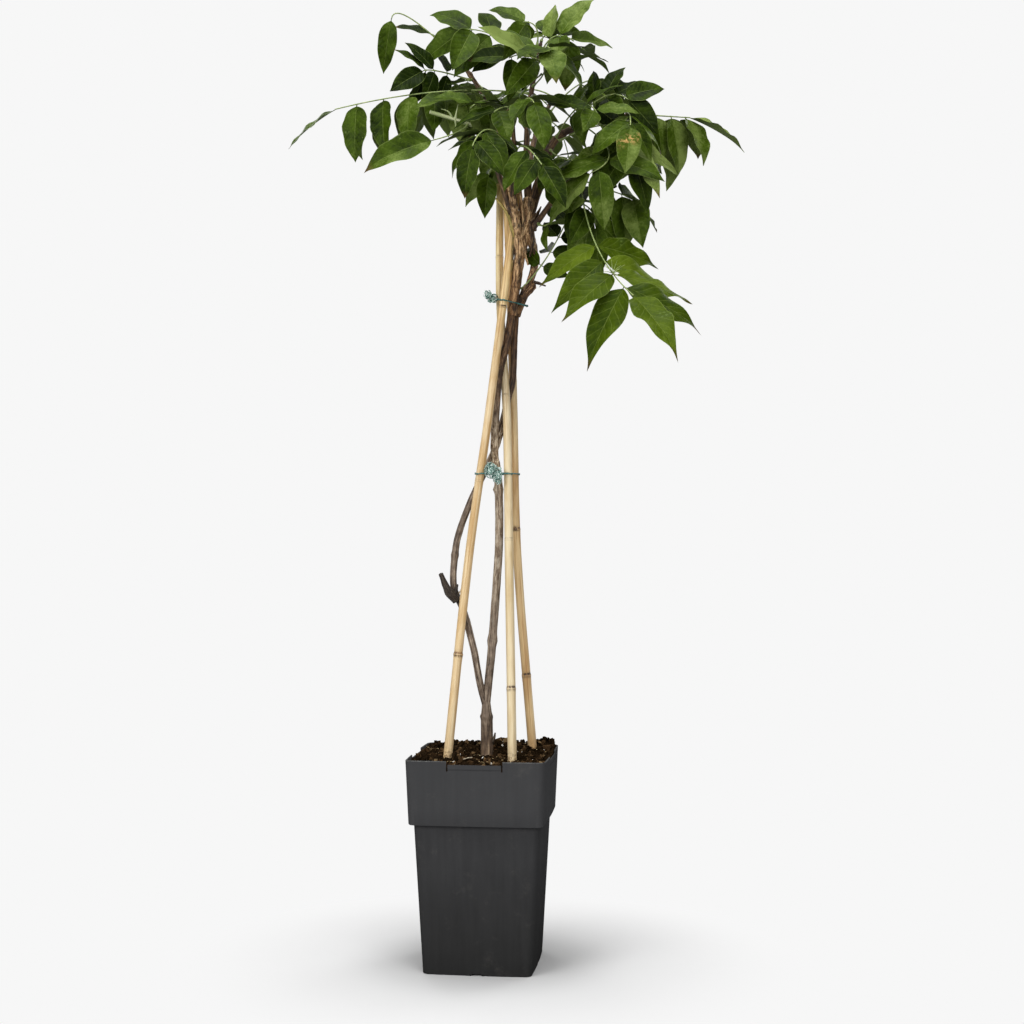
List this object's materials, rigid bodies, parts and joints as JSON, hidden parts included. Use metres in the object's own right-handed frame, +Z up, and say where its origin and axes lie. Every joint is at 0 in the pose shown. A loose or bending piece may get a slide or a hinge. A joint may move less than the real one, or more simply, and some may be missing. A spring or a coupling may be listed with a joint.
{
  "type": "potted climbing plant",
  "caption": "Potted Japanese wisteria with twisted bare stems, a leafy head of compound leaves and bamboo canes in a deep square nursery pot.",
  "frame": {"origin": "middle of the pot's underside, on the surface that the pot stands on", "axes": "+Z up, pot sides square to X and Y, +X to the right and -Y towards the viewer of the pot's front"},
  "size_m": [0.5896, 0.5143, 1.2681],
  "materials": {
    "pot_plastic": "matte",
    "soil": "rough",
    "bamboo": "satin",
    "bark": "rough",
    "green_wood": "satin",
    "tie_tape": "glossy",
    "leaf": "satin",
    "young_leaf": "satin"
  },
  "bodies": {
    "root": {"pot": "pot_plastic", "soil": "soil", "cane_left": "bamboo", "cane_front": "bamboo", "cane_right": "bamboo", "stems": "bark", "young_shoot": "green_wood", "tie_lower": "tie_tape", "tie_upper": "tie_tape", "frond_01": "leaf", "frond_02": "leaf", "frond_03": "leaf", "frond_04": "leaf", "frond_05": "leaf", "frond_06": "leaf", "frond_07": "leaf", "frond_08": "leaf", "frond_09": "leaf", "frond_10": "leaf", "frond_11": "leaf", "frond_12": "leaf", "frond_13": "leaf", "frond_14": "leaf", "frond_15": "leaf", "frond_16": "leaf", "frond_17": "leaf", "frond_18": "leaf", "frond_19": "young_leaf", "frond_20": "leaf", "frond_21": "leaf", "frond_22": "leaf", "frond_23": "leaf", "frond_24": "leaf", "frond_25": "leaf", "frond_26": "leaf", "frond_27": "leaf", "frond_28": "leaf", "frond_29": "leaf", "frond_30": "leaf", "frond_31": "leaf", "frond_32": "leaf", "frond_33": "leaf", "frond_34": "leaf", "frond_35": "leaf", "frond_36": "leaf", "frond_37": "leaf", "frond_38": "leaf", "frond_39": "leaf", "frond_40": "leaf", "frond_41": "leaf", "frond_42": "leaf"}
  },
  "joints": []
}
